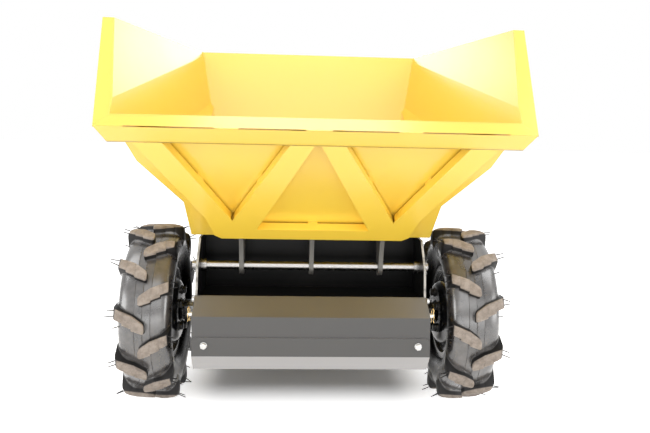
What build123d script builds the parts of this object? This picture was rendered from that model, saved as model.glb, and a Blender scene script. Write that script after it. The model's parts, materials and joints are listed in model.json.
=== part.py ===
from build123d import *
from math import cos, pi, sin, sqrt
import os

# Pedestrian site dumper. Millimetres, +Z up, the front faces -Y and +X is the machine's left hand.
# The origin lies on the floor under the middle of the machine.

# ---------------------------------------------------------------- driving dimensions
overall_length = 1640.0      # lip nose to the end of the hand grips
sheet = 3.0                  # skip plate thickness
hinge_clearance = 0.25       # radial, between a turning bore and its pin
seat_gap = 0.3               # between pieces on different bodies that rest on each other

# datums along the machine
lip_nose_y = -overall_length / 2
guard_y = lip_nose_y + 160.0     # front face of the guard
hinge_y = guard_y + 130.0
hinge_z = 332.0
axle_y = guard_y + 195.0
rear_axis_y = guard_y + 1080.0   # swivel axis of the castors
frame_rear_y = rear_axis_y + 70.0

# skip, outside faces
floor_z = 403.0
floor_half = 273.0
floor_front_y = guard_y + 121.5
floor_rear_y = guard_y + 570.0
skirt_lean = 0.045           # outward lean of the lowest band of the sides, per mm of height
rim_z = 867.0
rim_rear_y = guard_y + 690.0
mouth_low_z = 664.5          # where the front wall ends and the lip begins
mouth_top_y = guard_y + 68.0
flare_start_z = 486.5        # bends of the sides, measured along the front wall
flare_end_z = 577.0
flare_end_half = 353.0
rear_bend_half = 294.0       # the flare's upper bend where it meets the rear wall
rear_bend_z = 715.0
wing_start_z = 695.0         # where the wing begins on the mouth's edge
wing_rear_z = 855.0          # and where it ends on the rear wall
rim_half_front = 425.0
rim_half_rear = 320.0

# lip and mouth flange
lip_width = 29.0             # upper face, from the mouth to the nose
lip_drop = 29.2              # the lower face falls back to the brace by this much
lip_half_nose = 405.5
lip_half_chin = 390.5
lip_slot = 2.0               # slots along the fold, which let so stiff a lip be folded
lip_slots = [(24.0, 147.0), (190.0, 353.0)]
flange_top_half = 446.0

# brace frame on the front wall
brace_depth = 23.7           # outside face of the brace, square off the wall
brace_foot = 19.5            # its lower edge, up the slope from the floor's edge
brace_slot = 4.0             # slot between a folded edge and the wall
brace_tab = 21.0             # length of the welded tab that interrupts each slot
brace_relief = 5.0           # radius of the corner relief between two folded edges

# hinge
bar_radius = 10.0
lug_radius = 20.0
lug_thickness = 10.0
lug_spacing = 159.4

# chassis
plate_thickness = 5.0
chassis_half = 256.0         # outside faces of the side plates
plate_top_z = 397.0
plate_bottom_z = 126.0
rail_bottom_z = 335.0
panel_y = guard_y + 200.0    # upright panel behind the hinge bar
ledge_z = 263.0
panel_sheet = 3.0

# front wheels, 4.00-8
tyre_radius = 207.5
tyre_width = 118.0
wheel_x = 362.0
rim_seat_radius = 101.5
rim_flange_radius = 114.0
rim_width = 78.0
axle_radius = 12.5

# castors
castor_radius = 110.0
castor_width = 50.0
castor_x = 185.0
castor_trail = 45.0
castor_plate_z = 285.0

# handlebars
handle_radius = 14.0
handle_half = 262.0
grip_z = 885.0
grip_length = 125.0

# engine
deck_z = 340.0
engine_y = guard_y + 915.0


# ---------------------------------------------------------------- helpers
def meet(a, b, c):
    """The point that three planes share."""
    na, nb, nc = a.z_dir, b.z_dir, c.z_dir
    whole = na.dot(nb.cross(nc))
    total = (
        nb.cross(nc) * a.origin.dot(na)
        + nc.cross(na) * b.origin.dot(nb)
        + na.cross(nb) * c.origin.dot(nc)
    )
    return total * (1 / whole)


def wall_through(a, b, c, away_from):
    """The plane of three points, facing away from a point inside."""
    a, b, c, away_from = Vector(*a), Vector(*b), Vector(*c), Vector(*away_from)
    normal = (b - a).cross(c - a).normalized()
    if normal.dot(a - away_from) < 0:
        normal = normal * -1
    return Plane(origin=a, z_dir=normal)


def mitred(outer, inner):
    """A flat plate between two outlines with as many corners each."""
    count = len(outer)
    faces = [Face(Wire.make_polygon(outer)), Face(Wire.make_polygon(inner))]
    for i in range(count):
        j = (i + 1) % count
        faces.append(Face(Wire.make_polygon([outer[i], outer[j], inner[j], inner[i]])))
    return Solid(Shell(faces))


def folded(points, thickness):
    """The outline of a folded sheet: its face as given, and its back offset to the left."""
    path = [Vector(*p) for p in points]
    sides = []
    for a, b in zip(path, path[1:]):
        run = (b - a).normalized()
        sides.append(Vector(-run.Y, run.X))
    back = [path[0] + sides[0] * thickness]
    for p, n, m in zip(path[1:], sides, sides[1:]):
        back.append(p + (n + m) * (thickness / (1 + n.dot(m))))
    back.append(path[-1] + sides[-1] * thickness)
    return [(p.X, p.Y) for p in path + back[::-1]]


def across(points, half_width, x=0.0):
    """A profile in the machine's side view, extruded equally to both sides of x."""
    with BuildPart(mode=Mode.PRIVATE) as bar:
        with BuildSketch(Plane.YZ.offset(x)):
            with BuildLine():
                Polyline(*points, close=True)
            make_face()
        extrude(amount=half_width, both=True)
    return bar.part


def turned(plane, profile):
    """A profile of (along, radius) points, revolved about the plane's normal."""
    with BuildPart(mode=Mode.PRIVATE) as ring:
        axis = Axis(plane.origin, plane.z_dir)
        sketch_plane = Plane(origin=plane.origin, x_dir=plane.z_dir, z_dir=plane.x_dir)
        with BuildSketch(sketch_plane):
            with BuildLine():
                Polyline(*profile, close=True)
            make_face()
        revolve(axis=axis)
    return ring.part


def both_sides(half):
    """A profile from its outer half, mirrored to the inner side."""
    return [(-along, radius) for along, radius in reversed(half)] + half


def finish(builder, name):
    """Label a piece and write it."""
    builder.part.label = name
    export_step(builder.part, f"parts/{name}.step")


os.makedirs("parts", exist_ok=True)


# ---------------------------------------------------------------- skip
# Its walls are flat sheets. Each is known by its outside plane, and a corner is where three meet.
skip_inside = (0, (floor_front_y + floor_rear_y) / 2, floor_z + 150)


def front_wall_y(z):
    """The front wall leans forward at 45 degrees."""
    return floor_front_y - (z - floor_z)


def rear_wall_y(z):
    return floor_rear_y + (z - floor_z) * (rim_rear_y - floor_rear_y) / (rim_z - floor_z)


def skirt_half(z):
    return floor_half + skirt_lean * (z - floor_z)


flare_start = (skirt_half(flare_start_z), front_wall_y(flare_start_z), flare_start_z)
flare_end = (flare_end_half, front_wall_y(flare_end_z), flare_end_z)
flare_rear = (rear_bend_half, rear_wall_y(rear_bend_z), rear_bend_z)
mouth_low = (0, front_wall_y(mouth_low_z), mouth_low_z)
mouth_top = (0, mouth_top_y, rim_z)
rim_rear = (rim_half_rear, rear_wall_y(wing_rear_z), wing_rear_z)

walls = {
    "floor": wall_through((0, 0, floor_z), (1, 0, floor_z), (0, 1, floor_z), skip_inside),
    "rim": wall_through((0, 0, rim_z), (1, 0, rim_z), (0, 1, rim_z), skip_inside),
    "front": wall_through((0, floor_front_y, floor_z), (1, floor_front_y, floor_z), mouth_low,
                          skip_inside),
    "rear": wall_through((0, floor_rear_y, floor_z), (1, floor_rear_y, floor_z), (0, rim_rear_y, rim_z),
                         skip_inside),
    "mouth": wall_through(mouth_low, (1, mouth_low[1], mouth_low_z), mouth_top, skip_inside),
    "skirt": wall_through((floor_half, 0, floor_z), (floor_half, 1, floor_z), flare_start, skip_inside),
    "flare": wall_through(flare_start, flare_end, flare_rear, skip_inside),
    "side": wall_through(flare_end, flare_rear, rim_rear, skip_inside),
}
wing_level = Plane.XY.offset(wing_start_z)
wing_front = meet(walls["side"], walls["mouth"], wing_level)
walls["wing"] = wall_through(tuple(wing_front), rim_rear, (rim_half_front, mouth_top_y, rim_z),
                             skip_inside)
cuts = ("rim", "mouth")      # open edges, not sheets

# panel: its corners in order on the +X side, each named by the two walls it meets there
side_panels = {
    "skirt": [("floor", "front"), ("floor", "rear"), ("rear", "flare"), ("front", "flare")],
    "flare": [("front", "skirt"), ("rear", "skirt"), ("rear", "side"), ("front", "side")],
    "side": [("front", "flare"), ("rear", "flare"), ("rear", "wing"), ("wing", "mouth"), ("front", "mouth")],
    "wing": [("side", "mouth"), ("side", "rear"), ("rear", "rim"), ("rim", "mouth")],
}
cross_panels = {
    "floor": [("front", "skirt"), ("rear", "skirt")],
    "front": [("floor", "skirt"), ("skirt", "flare"), ("flare", "side"), ("side", "mouth")],
    "rear": [("floor", "skirt"), ("skirt", "flare"), ("flare", "side"), ("side", "wing"), ("wing", "rim")],
}


def skip_corner(depth, *names):
    """Where three walls meet, on their outside faces moved in by depth."""
    planes = [walls[name].offset(0 if name in cuts else -depth) for name in names]
    return meet(*planes)


def side_panel(name):
    corners = [[skip_corner(d, name, *pair) for pair in side_panels[name]] for d in (0, sheet)]
    return mitred(*corners)


def cross_panel(name):
    outlines = []
    for depth in (0, sheet):
        half = [skip_corner(depth, name, *pair) for pair in cross_panels[name]]
        outlines.append(half + [Vector(-p.X, p.Y, p.Z) for p in reversed(half)])
    return mitred(*outlines)


for node, wall in (("skip_floor", "floor"), ("skip_front_wall", "front"), ("skip_rear_wall", "rear")):
    with BuildPart() as cross:
        add(cross_panel(wall))
    finish(cross, node)

with BuildPart() as skip_left_side:
    for wall in side_panels:
        add(side_panel(wall))
finish(skip_left_side, "skip_left_side")
with BuildPart() as skip_right_side:
    mirror(skip_left_side.part, about=Plane.YZ)
finish(skip_right_side, "skip_right_side")

# Lip: the front wall's edge, folded to a V along the whole mouth and mitred at its ends
mouth_run = (Vector(*mouth_low) - Vector(*mouth_top)).normalized()
nose = Vector(*mouth_low) + mouth_run * lip_width
chin_z = nose.Z - lip_drop
chin_y = front_wall_y(chin_z) - brace_depth * sqrt(2)
lip_corner = skip_corner(0, "front", "side", "mouth")
lip_end = wall_through(
    (lip_half_nose, nose.Y, nose.Z), (lip_half_chin, chin_y, chin_z), tuple(lip_corner), skip_inside
)
chin_plane = wall_through(tuple(nose), (1, nose.Y, nose.Z), (0, chin_y, chin_z), skip_inside)
lip_back = (
    meet(walls["mouth"].offset(-sheet), walls["front"], Plane.YZ),
    meet(walls["mouth"].offset(-sheet), chin_plane.offset(-sheet), Plane.YZ),
    meet(chin_plane.offset(-sheet), walls["front"].offset(brace_depth), Plane.YZ),
)
with BuildPart() as skip_lip:
    with BuildSketch(Plane.YZ):
        with BuildLine():
            Polyline(
                (mouth_low[1], mouth_low[2]),
                (nose.Y, nose.Z),
                (chin_y, chin_z),
                *[(p.Y, p.Z) for p in reversed(lip_back)],
                close=True,
            )
        make_face()
    extrude(amount=lip_half_nose + 10, both=True)
    split(bisect_by=lip_end, keep=Keep.BOTTOM)
    split(bisect_by=Plane(origin=(-lip_end.origin.X, lip_end.origin.Y, lip_end.origin.Z),
                          z_dir=(-lip_end.z_dir.X, lip_end.z_dir.Y, lip_end.z_dir.Z)), keep=Keep.BOTTOM)
    fold_in = lip_back[1] - nose
    with BuildSketch(Plane(origin=nose, x_dir=(1, 0, 0), z_dir=fold_in)):
        for start, end in lip_slots:
            with Locations(((start + end) / 2, 0), (-(start + end) / 2, 0)):
                SlotOverall(end - start, lip_slot)
    extrude(amount=1.5 * fold_in.length, both=True, mode=Mode.SUBTRACT)
finish(skip_lip, "skip_lip")

# Mouth flanges: the side edges folded outward in the plane of the mouth
flange_edge = wall_through(
    (lip_half_nose, nose.Y, nose.Z),
    (flange_top_half, mouth_top_y, rim_z),
    (flange_top_half, mouth_top_y + 1, rim_z - 1),
    skip_inside,
)


def flange_outline(depth):
    mouth = walls["mouth"].offset(-depth)
    return [
        meet(mouth, walls["side"], lip_end),
        meet(mouth, walls["side"], walls["wing"]),
        meet(mouth, walls["wing"], walls["rim"]),
        meet(mouth, flange_edge, walls["rim"]),
        meet(mouth, flange_edge, lip_end),
    ]


with BuildPart() as skip_mouth_flanges:
    add(mitred(flange_outline(0), flange_outline(sheet)))
    mirror(about=Plane.YZ)
finish(skip_mouth_flanges, "skip_mouth_flanges")

# Brace frame: one plate cut to a W. Its edges are folded back towards the front wall and
# welded to it by a tab in the middle of each, which leaves a slot on both sides of the weld.
# Its sketch plane lies on the wall, +y runs up the slope from the floor's edge.
wall_face = Plane(origin=(0, floor_front_y, floor_z), x_dir=(1, 0, 0), z_dir=walls["front"].z_dir)
brace_top = (nose.Z - lip_drop - floor_z) * sqrt(2) + brace_depth
brace_face = wall_face.offset(brace_depth)
fold_depth = brace_depth - sheet - brace_slot


def on_front_wall(up, out):
    """The side view's point that lies so far up the front wall and so far out from it."""
    return floor_front_y - (up + out) / sqrt(2), floor_z + (up - out) / sqrt(2)


def other_side(points):
    """Points mirrored to the other side, in the order that keeps the metal on the left."""
    return [(-x, y) for x, y in reversed(points)]


# corners as (half width, height up the slope), with the metal always on the left
brace_right = [(202.0, brace_foot), (217.0, 31.0), (231.5, 93.0), (346.0, brace_top)]
brace_outline = brace_right + other_side(brace_right)
vee_apex = (174.5, 84.6)
vee_window = [(290.0, brace_top), vee_apex, (53.0, brace_top)]
middle_right = [(6.0, brace_top), (123.0, 55.0)]
brace_windows = [vee_window, other_side(vee_window), middle_right + other_side(middle_right)]


def outline(points, grow=0.0):
    with BuildSketch(mode=Mode.PRIVATE) as sketch:
        with BuildLine():
            Polyline(*points, close=True)
        make_face()
        if grow:
            offset(amount=grow, kind=Kind.INTERSECTION)
    return sketch.sketch


def weld_tabs(points):
    """A tab in the middle of each long folded edge."""
    tabs = []
    for start, end in zip(points, points[1:] + points[:1]):
        run = Vector(*end) - Vector(*start)
        if run.length > 4 * brace_tab and (start[1] < brace_top or end[1] < brace_top):
            middle = (Vector(*start) + Vector(*end)) * 0.5
            along = run.normalized() * (brace_tab / 2)
            into = Vector(-run.Y, run.X).normalized() * sheet
            first, last = middle - along, middle + along
            tabs.append(outline([first, last, last + into, first + into]))
    return tabs


brace_plate = outline(brace_outline) - [outline(points) for points in brace_windows]
unfolded = outline(brace_outline, -sheet) - [outline(points, sheet) for points in brace_windows]
under_lip = Pos(0, brace_top) * Rectangle(2 * brace_right[-1][0], 2 * sheet)
reliefs = [Pos(x, vee_apex[1]) * Circle(brace_relief) for x in (-vee_apex[0], vee_apex[0])]
with BuildPart() as skip_brace_frame:
    with BuildSketch(brace_face.offset(-sheet)):
        add(brace_plate)
    extrude(amount=sheet)
    with BuildSketch(brace_face.offset(-sheet)):
        add(brace_plate - unfolded - under_lip - reliefs)
    extrude(amount=-fold_depth)
    with BuildSketch(wall_face):
        for points in [brace_outline] + brace_windows:
            add(weld_tabs(points))
    extrude(amount=brace_slot)
finish(skip_brace_frame, "skip_brace_frame")

# Hinge lugs: three plates welded under the brace and the floor, hooked round the hinge bar
lug_x = (-lug_spacing, 0.0, lug_spacing)
hinge_plane = Plane(origin=(0, hinge_y, hinge_z), x_dir=(0, 1, 0), z_dir=(1, 0, 0))
lug_rear = 38.0              # the web meets the floor this far behind the bar
lug_top = [
    (y - hinge_y, z - hinge_z)
    for y, z in (on_front_wall(brace_foot, brace_depth - sheet), on_front_wall(brace_foot, 0),
                 (floor_front_y, floor_z), (hinge_y + lug_rear, floor_z))
]
with BuildPart() as skip_hinge_lugs:
    for x in lug_x:
        with BuildSketch(hinge_plane.offset(x)):
            Circle(lug_radius)
            with BuildLine():
                TangentArc((-lug_radius, 0), lug_top[0], tangent=(0, 1))
                Polyline(*lug_top, (lug_radius, 0), (-lug_radius, 0))
            make_face()
            Circle(bar_radius + hinge_clearance, mode=Mode.SUBTRACT)
        extrude(amount=lug_thickness / 2, both=True)
finish(skip_hinge_lugs, "skip_hinge_lugs")

# Striker: a hoop behind the floor that the latch holds
striker_radius = 6.0
striker_half = 45.0
striker_ear = 14.0           # half height of the two ears that carry it
striker_y = floor_rear_y + 30.0
striker_z = floor_z + 25.0
with BuildPart() as skip_striker:
    with BuildSketch(Plane(origin=(-striker_half, striker_y, striker_z), z_dir=(1, 0, 0))):
        Circle(striker_radius)
    extrude(amount=2 * striker_half)
    for x in (-striker_half, striker_half):
        add(across([
            (rear_wall_y(striker_z - striker_ear), striker_z - striker_ear),
            (striker_y + 10, striker_z - striker_ear),
            (striker_y + 10, striker_z + striker_ear),
            (rear_wall_y(striker_z + striker_ear), striker_z + striker_ear),
        ], sheet, x))
finish(skip_striker, "skip_striker")

# Grab handle across the rear wall, used to tip the skip by hand
grab_radius = 10.0
grab_half = 140.0
grab_z = 790.0
grab_reach = 55.0
rear_out = walls["rear"].z_dir
grab_foot = Vector(0, rear_wall_y(grab_z), grab_z)
grab_end = grab_foot + rear_out * grab_reach
with BuildPart() as skip_grab_handle:
    with BuildLine() as grab_path:
        FilletPolyline(
            grab_foot + Vector(-grab_half, 0, 0),
            grab_end + Vector(-grab_half, 0, 0),
            grab_end + Vector(grab_half, 0, 0),
            grab_foot + Vector(grab_half, 0, 0),
            radius=30,
        )
    with BuildSketch(Plane(origin=grab_foot + Vector(-grab_half, 0, 0), z_dir=rear_out)):
        Circle(grab_radius)
    sweep()
finish(skip_grab_handle, "skip_grab_handle")


# ---------------------------------------------------------------- chassis
plate_inside = chassis_half - plate_thickness

# Side views of the guard's sheet and of the cover bolted to its lower half
guard_rear_y = guard_y + 55.6
guard_rear_z = 278.8
guard_fold = [
    (guard_rear_y, ledge_z),
    (guard_rear_y, guard_rear_z),
    (guard_y, 246.7),
    (guard_y - 4.4, 165.0),
]
cover_fold = [
    (guard_y - 2.4 - panel_sheet, 202.8),
    (guard_y - 4.6 - panel_sheet, 162.2),
    (guard_y + 17.4, 125.2),
]
guard_back = folded(guard_fold, panel_sheet)[:len(guard_fold) - 1:-1]
bevel_rise = (ledge_z - guard_back[2][1]) / (guard_back[1][1] - guard_back[2][1])

plate_nose = [
    (guard_y + 118.0, plate_top_z),
    (guard_y + 68.0, 340.0),
    (guard_rear_y, guard_rear_z),
    (guard_rear_y, ledge_z),
    (guard_back[2][0] + bevel_rise * (guard_back[1][0] - guard_back[2][0]), ledge_z),
    guard_back[2],
    guard_back[3],
    (guard_y + 26.0, plate_bottom_z + 4),
    (guard_y + 40.0, plate_bottom_z),
]
plate_tail = [
    (guard_y + 430.0, plate_bottom_z),
    (guard_y + 640.0, rail_bottom_z),
    (frame_rear_y, rail_bottom_z),
    (frame_rear_y, plate_top_z),
]
side_plane = Plane(origin=(0, 0, 0), x_dir=(0, 1, 0), z_dir=(1, 0, 0))
hub_hole = 30.0
lashing_radius = 9.0
lashing_holes = [(guard_y + 418.0, 160.0), (frame_rear_y - 200.0, 366.0)]
with BuildPart() as chassis_left_plate:
    with BuildSketch(side_plane.offset(plate_inside)):
        with BuildLine():
            Polyline(*plate_nose, *plate_tail, close=True)
        make_face()
        with Locations((hinge_y, hinge_z)):
            Circle(bar_radius + 0.1, mode=Mode.SUBTRACT)
        with Locations((axle_y, tyre_radius)):
            Circle(hub_hole, mode=Mode.SUBTRACT)
        with Locations(*lashing_holes):
            Circle(lashing_radius, mode=Mode.SUBTRACT)
    extrude(amount=plate_thickness)
finish(chassis_left_plate, "chassis_left_plate")
with BuildPart() as chassis_right_plate:
    mirror(chassis_left_plate.part, about=Plane.YZ)
finish(chassis_right_plate, "chassis_right_plate")

# Hinge bar with a collar inside each plate and a washer outside it
bar_end = chassis_half + 16.0
bar_collar = (plate_inside - 12, 12, 15)     # start, length, radius
bar_washer = (chassis_half, 3, 18)
with BuildPart() as hinge_bar:
    with BuildSketch(hinge_plane.offset(-bar_end)):
        Circle(bar_radius)
    extrude(amount=2 * bar_end)
    for start, length, radius in (bar_collar, bar_washer):
        for side in (-1, 1):
            with BuildSketch(hinge_plane.offset(side * start)):
                Circle(radius)
            extrude(amount=side * length)
finish(hinge_bar, "hinge_bar")

# Panel behind the bar: an upright sheet whose foot is folded forward to a ledge
with BuildPart() as front_panel:
    add(across(folded([
        (guard_rear_y + panel_sheet, ledge_z),
        (panel_y, ledge_z),
        (panel_y, plate_top_z - 2),
    ], panel_sheet), plate_inside))
finish(front_panel, "front_panel")

# Guard: folded sheet over the front of the side plates, with a bolted cover below
with BuildPart() as front_guard:
    add(across(folded(guard_fold, panel_sheet), chassis_half))
finish(front_guard, "front_guard")

cover_corner = 12.0
with BuildPart() as guard_cover:
    add(across(folded(cover_fold, panel_sheet), chassis_half))
    thickness_edges = guard_cover.edges().filter_by(lambda edge: edge.length < 2 * panel_sheet)
    fillet(thickness_edges.group_by(Axis.Z)[-1], cover_corner)
finish(guard_cover, "guard_cover")

# Cross channel that the skip rests on, with two rubber rests
rest_y = floor_rear_y - 55.0
rest_x = 150.0
rest_radius = 20.0
channel_height = 45.0
channel_width = 60.0
channel_top = 380.0
channel_sheet = 4.0
with BuildPart() as rest_channel:
    add(across(folded([
        (rest_y - channel_width / 2, channel_top - channel_height),
        (rest_y - channel_width / 2, channel_top),
        (rest_y + channel_width / 2, channel_top),
        (rest_y + channel_width / 2, channel_top - channel_height),
    ], -channel_sheet), plate_inside))
finish(rest_channel, "rest_channel")
with BuildPart() as skip_rests:
    with BuildSketch(Plane.XY.offset(channel_top)):
        with Locations((-rest_x, rest_y), (rest_x, rest_y)):
            Circle(rest_radius)
    extrude(amount=floor_z - seat_gap - channel_top)
finish(skip_rests, "skip_rests")

# ---------------------------------------------------------------- axle and drive
axle_plane = Plane(origin=(0, axle_y, tyre_radius), x_dir=(0, 1, 0), z_dir=(1, 0, 0))
axle_inner = 200.0           # the wheel's shaft enters the housing to here
housing_end = chassis_half + 6.0
tube_radius = hub_hole - 0.1
tube_flange = (7, 48)        # thickness and radius, inside each plate
drum_radius = 50.0           # the differential's bulge
drum_half = 66.0
drum_foot = 90.0
half_housing = [
    (drum_half, drum_radius), (drum_foot, tube_radius), (plate_inside - tube_flange[0], tube_radius),
    (plate_inside - tube_flange[0], tube_flange[1]), (plate_inside, tube_flange[1]),
    (plate_inside, tube_radius), (housing_end, tube_radius), (housing_end, 0),
]
pinion_radius = 32.0
shaft_front = axle_y + 110.0
with BuildPart() as axle_housing:
    add(turned(axle_plane, both_sides(half_housing)))
    for side in (-1, 1):
        with BuildSketch(axle_plane.offset(side * axle_inner)):
            Circle(axle_radius + hinge_clearance)
        extrude(amount=side * (housing_end - axle_inner), mode=Mode.SUBTRACT)
    with BuildSketch(Plane(origin=(0, shaft_front, tyre_radius), z_dir=(0, -1, 0))):
        Circle(pinion_radius)
    extrude(until=Until.NEXT)
finish(axle_housing, "axle_housing")

gearbox_y = guard_y + 700.0
gearbox_size = (150.0, 150.0, 150.0)
gearbox_top = deck_z - 20.0
gearbox_foot = (180.0, 100.0, 20.0)          # the pad that hangs it from the deck
with BuildPart() as gearbox:
    with BuildSketch(Plane.XY.offset(gearbox_top)):
        with Locations((0, gearbox_y)):
            RectangleRounded(gearbox_size[0], gearbox_size[1], 25)
    extrude(amount=-gearbox_size[2])
    fillet(gearbox.edges().group_by(Axis.Z)[0], 12)
    with BuildSketch(Plane.XY.offset(gearbox_top)):
        with Locations((0, gearbox_y)):
            Rectangle(gearbox_foot[0], gearbox_foot[1])
    extrude(amount=gearbox_foot[2])
finish(gearbox, "gearbox")

shaft_radius = 15.0
with BuildPart() as drive_shaft:
    with BuildSketch(Plane(origin=(0, shaft_front, tyre_radius), z_dir=(0, 1, 0))):
        Circle(shaft_radius)
    extrude(amount=gearbox_y - gearbox_size[1] / 2 - shaft_front)
finish(drive_shaft, "drive_shaft")

# ---------------------------------------------------------------- front wheels
wheel_plane = axle_plane.offset(wheel_x)
seat_edge = rim_width / 2 - 4                # inner faces of the rim's flanges
half_tyre = [
    (22, tyre_radius), (38, tyre_radius - 4.5), (tyre_width / 2 - 3, tyre_radius - 29.5),
    (tyre_width / 2, tyre_radius - 57.5), (seat_edge, rim_flange_radius + 0.5),
    (seat_edge, rim_seat_radius),
]
well_radius = 84.0           # the rim's drop centre
rim_sheet = 3.0
disc_at = -53.0              # the disc is dished inboard to here
disc_flat = 58.0             # radius of its flat middle
dish = [
    (-16 + (disc_at + 16) * sin(turn), disc_flat + (well_radius - disc_flat) * cos(turn))
    for turn in (pi / 2 * i / 6 for i in range(7))
]
half_rim = [
    (21, well_radius), (28, rim_seat_radius - rim_sheet), (rim_width / 2, rim_seat_radius - rim_sheet),
    (rim_width / 2, rim_flange_radius), (seat_edge, rim_flange_radius), (seat_edge, rim_seat_radius),
    (25, rim_seat_radius), (18, well_radius + rim_sheet),
]
hub_radius = 24.0
hub_flange = (6, 56)         # thickness and radius, on the outer side of the disc
hub_out = -18.0              # the hub's outer end
with BuildPart() as left_wheel_tyre:
    add(turned(wheel_plane, both_sides(half_tyre)))
finish(left_wheel_tyre, "left_wheel_tyre")
with BuildPart() as left_wheel_rim:
    add(turned(wheel_plane, both_sides(half_rim)))
    add(turned(wheel_plane, dish + [(disc_at, 0), (disc_at + rim_sheet, 0)]
               + [(x + rim_sheet, radius) for x, radius in reversed(dish)]))
    for start, end, radius in (
        (axle_inner + 2, wheel_x + hub_out + 14, axle_radius),
        (housing_end + 4, wheel_x + hub_out, hub_radius),
        (wheel_x + disc_at + rim_sheet, wheel_x + disc_at + rim_sheet + hub_flange[0], hub_flange[1]),
    ):
        with BuildSketch(axle_plane.offset(start)):
            Circle(radius)
        extrude(amount=end - start)
finish(left_wheel_rim, "left_wheel_rim")
for source, name in ((left_wheel_tyre, "right_wheel_tyre"), (left_wheel_rim, "right_wheel_rim")):
    with BuildPart() as other:
        mirror(source.part, about=Plane.YZ)
    finish(other, name)

# ---------------------------------------------------------------- rear frame and castors
beam_depth = 110.0
castor_plate = (105.0, 85.0, 6.0)
race_radius = 34.0
race_height = 12.0
race_bottom = castor_plate_z - castor_plate[2] - race_height
with BuildPart() as rear_beam:
    with BuildSketch(Plane.XY.offset(castor_plate_z)):
        with Locations((0, rear_axis_y)):
            Rectangle(2 * chassis_half, beam_depth)
    extrude(amount=rail_bottom_z - castor_plate_z)
    for x in (-castor_x, castor_x):
        with BuildSketch(Plane.XY.offset(castor_plate_z)):
            with Locations((x, rear_axis_y)):
                RectangleRounded(castor_plate[0], castor_plate[1], 8)
        extrude(amount=-castor_plate[2])
        with BuildSketch(Plane.XY.offset(race_bottom)):
            with Locations((x, rear_axis_y)):
                Circle(race_radius)
        extrude(amount=race_height)
finish(rear_beam, "rear_beam")

fork_top = race_bottom - seat_gap
fork_inside = castor_width / 2 + 4.0
fork_sheet = 5.0
fork_out = fork_inside + fork_sheet
fork_half = 40.0             # half length of the fork's crown
fork_foot = 22.0             # radius of the legs' lower ends
castor_axle_y = rear_axis_y + castor_trail
castor_bolt = 8.0            # radius
castor_nut = (13.0, 8.0)     # radius across the corners, height
kingpin_nut = (17.0, 12.0)
castor_well = 30.0           # hub radius of the castor's centre
castor_seat = 78.0           # where its tyre is bonded on
castor_web = 6.0
half_castor_tyre = [
    (castor_width / 2 - 13, castor_radius), (castor_width / 2 - 4, castor_radius - 4),
    (castor_width / 2, castor_radius - 12), (castor_width / 2, castor_seat + 6),
    (castor_width / 2 - 4, castor_seat),
]
half_castor_rim = [
    (castor_width / 2 - 4, castor_seat), (castor_width / 2 - 4, castor_seat - 5),
    (castor_web, castor_seat - 8), (castor_web, castor_well), (castor_width / 2, castor_well - 8),
    (castor_width / 2, castor_bolt + hinge_clearance),
]
for side, hand in ((1, "left"), (-1, "right")):
    x = side * castor_x
    leg_plane = Plane(origin=(x, 0, 0), x_dir=(0, 1, 0), z_dir=(1, 0, 0))
    castor_plane = Plane(origin=(x, castor_axle_y, castor_radius), x_dir=(0, 1, 0), z_dir=(1, 0, 0))
    with BuildPart() as fork:
        with BuildSketch(Plane.XY.offset(fork_top)):
            with Locations((x, rear_axis_y)):
                Rectangle(2 * fork_out, 2 * fork_half)
        extrude(amount=-fork_sheet)
        with BuildSketch(Plane.XY.offset(fork_top - fork_sheet)):
            with Locations((x, rear_axis_y)):
                RegularPolygon(kingpin_nut[0], 6)
        extrude(amount=-kingpin_nut[1])
        for leg in (-fork_out, fork_inside):
            with BuildSketch(leg_plane.offset(leg)):
                with BuildLine():
                    Polyline(
                        (rear_axis_y - fork_half, fork_top),
                        (rear_axis_y + fork_half, fork_top),
                        (castor_axle_y + fork_foot, castor_radius),
                        (castor_axle_y - fork_foot, castor_radius),
                        close=True,
                    )
                make_face()
                with Locations((castor_axle_y, castor_radius)):
                    Circle(fork_foot)
            extrude(amount=fork_sheet)
        with BuildSketch(castor_plane.offset(-fork_out)):
            Circle(castor_bolt)
        extrude(amount=2 * fork_out)
        for end, height in ((-fork_out, -castor_nut[1]), (fork_out, castor_nut[1])):
            with BuildSketch(castor_plane.offset(end)):
                RegularPolygon(castor_nut[0], 6)
            extrude(amount=height)
    finish(fork, f"{hand}_castor_fork")
    with BuildPart() as tyre:
        add(turned(castor_plane, both_sides(half_castor_tyre)))
    finish(tyre, f"{hand}_castor_tyre")
    with BuildPart() as rim:
        add(turned(castor_plane, both_sides(half_castor_rim)))
    finish(rim, f"{hand}_castor_rim")

# ---------------------------------------------------------------- engine on its deck
deck_front = gearbox_y - 90.0
deck_sheet = 4.0
deck_top = deck_z + deck_sheet
with BuildPart() as engine_deck:
    with BuildSketch(Plane.XY.offset(deck_z)):
        with Locations((0, (deck_front + frame_rear_y) / 2)):
            Rectangle(2 * plate_inside, frame_rear_y - deck_front)
    extrude(amount=deck_sheet)
finish(engine_deck, "engine_deck")

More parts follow.
